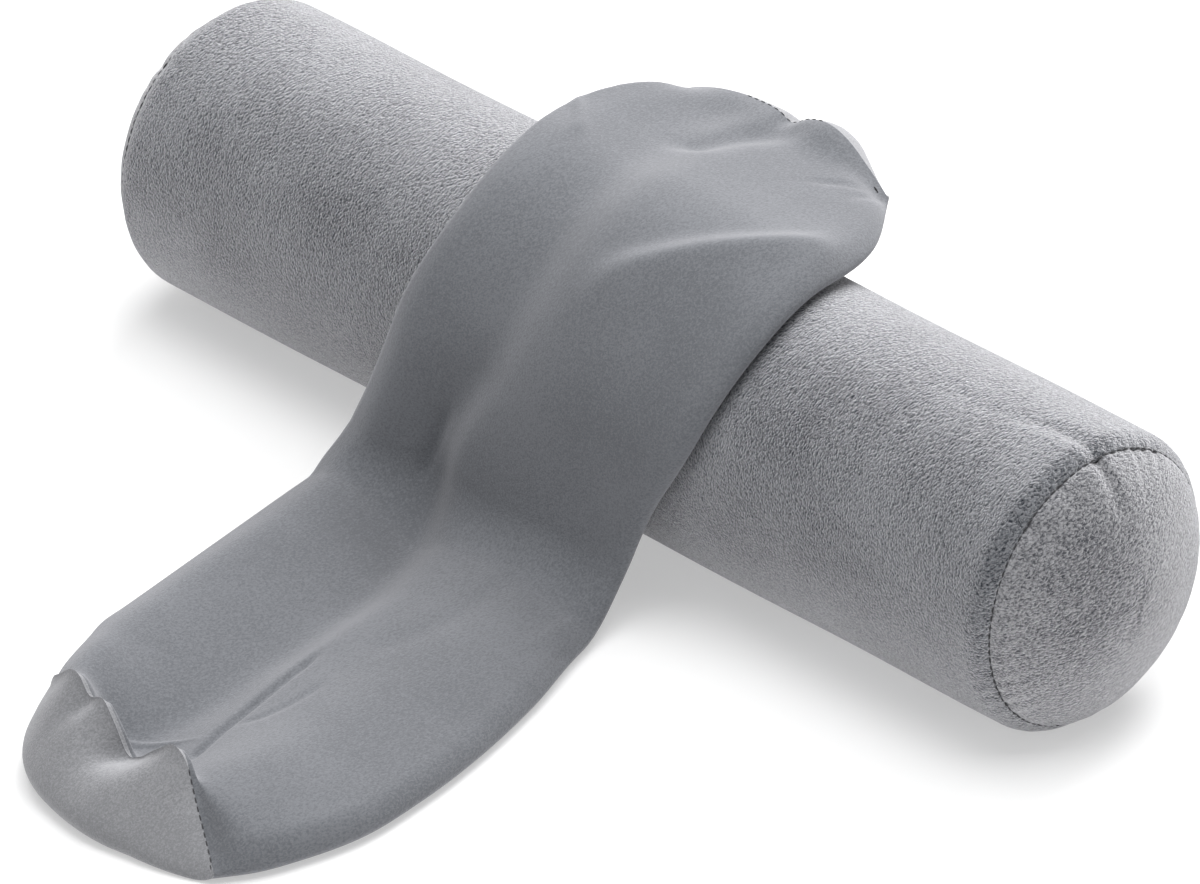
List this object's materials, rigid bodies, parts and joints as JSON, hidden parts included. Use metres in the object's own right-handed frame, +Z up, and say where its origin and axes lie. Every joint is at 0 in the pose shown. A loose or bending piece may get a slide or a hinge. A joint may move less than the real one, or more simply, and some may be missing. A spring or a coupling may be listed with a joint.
{
  "type": "neck roll with a spare cover",
  "caption": "Round stuffed neck roll in a velvet cover with domed, sewn ends and a hidden zip, and an empty spare cover of the same kind draped across it.",
  "frame": {"origin": "middle of the flat that the roll rests on, on the floor", "axes": "+X along the roll, +Z up; the spare cover comes down to the floor on the -Y side"},
  "size_m": [0.4328, 0.3785, 0.1148],
  "materials": {
    "foam": "matte",
    "lining": "matte",
    "velvet": "matte",
    "thread": "matte",
    "tape": "matte",
    "coil": "satin",
    "metal": "satin"
  },
  "bodies": {
    "roll": {"foam_core": "foam", "liner_tube": "lining", "liner_end_left": "lining", "liner_end_right": "lining", "cover_tube": "velvet", "cover_end_left": "velvet", "cover_end_right": "velvet", "seam_thread_left": "thread", "seam_thread_right": "thread", "zip_tape_upper": "tape", "zip_tape_lower": "tape", "zip_coil_upper": "coil", "zip_coil_lower": "coil", "zip_stops": "metal", "zip_stitching": "thread"},
    "roll_zip_slider": {"zip_slider": "metal"},
    "roll_zip_pull": {"zip_pull": "metal"},
    "spare_cover": {"spare_tube": "velvet", "spare_end_near": "velvet", "spare_end_far": "velvet", "spare_seam_thread_near": "thread", "spare_seam_thread_far": "thread", "spare_zip_tape_upper": "tape", "spare_zip_tape_lower": "tape", "spare_zip_coil_upper": "coil", "spare_zip_coil_lower": "coil", "spare_zip_stops": "metal"},
    "spare_zip_slider": {"spare_zip_slider": "metal"},
    "spare_zip_pull": {"spare_zip_pull": "metal"}
  },
  "joints": [
    {"name": "zip_slide", "type": "slide", "parent": "roll", "child": "roll_zip_slider", "axis": [-1, 0, 0], "range_m": [0, 0.318], "deforming": ["zip_coil_upper", "zip_coil_lower"]},
    {"name": "zip_pull_swing", "type": "hinge", "parent": "roll_zip_slider", "child": "roll_zip_pull", "pos_m": [0.158, 0.04975, 0.06283], "axis": [0, 0.2588, -0.9659], "range_deg": [0, 170]},
    {"name": "spare_cover_lift", "type": "slide", "parent": "roll", "child": "spare_cover", "axis": [0, 0, 1], "range_m": [0, 0.25]},
    {"name": "spare_zip_slide", "type": "slide", "parent": "spare_cover", "child": "spare_zip_slider", "axis": [-0.1758, 0.9844, 0], "range_m": [0, 0.085], "deforming": ["spare_zip_coil_upper", "spare_zip_coil_lower"]},
    {"name": "spare_zip_pull_swing", "type": "hinge", "parent": "spare_zip_slider", "child": "spare_zip_pull", "pos_m": [-0.05168, -0.18607, 0.007], "axis": [0, 0, 1], "range_deg": [0, 170]}
  ]
}
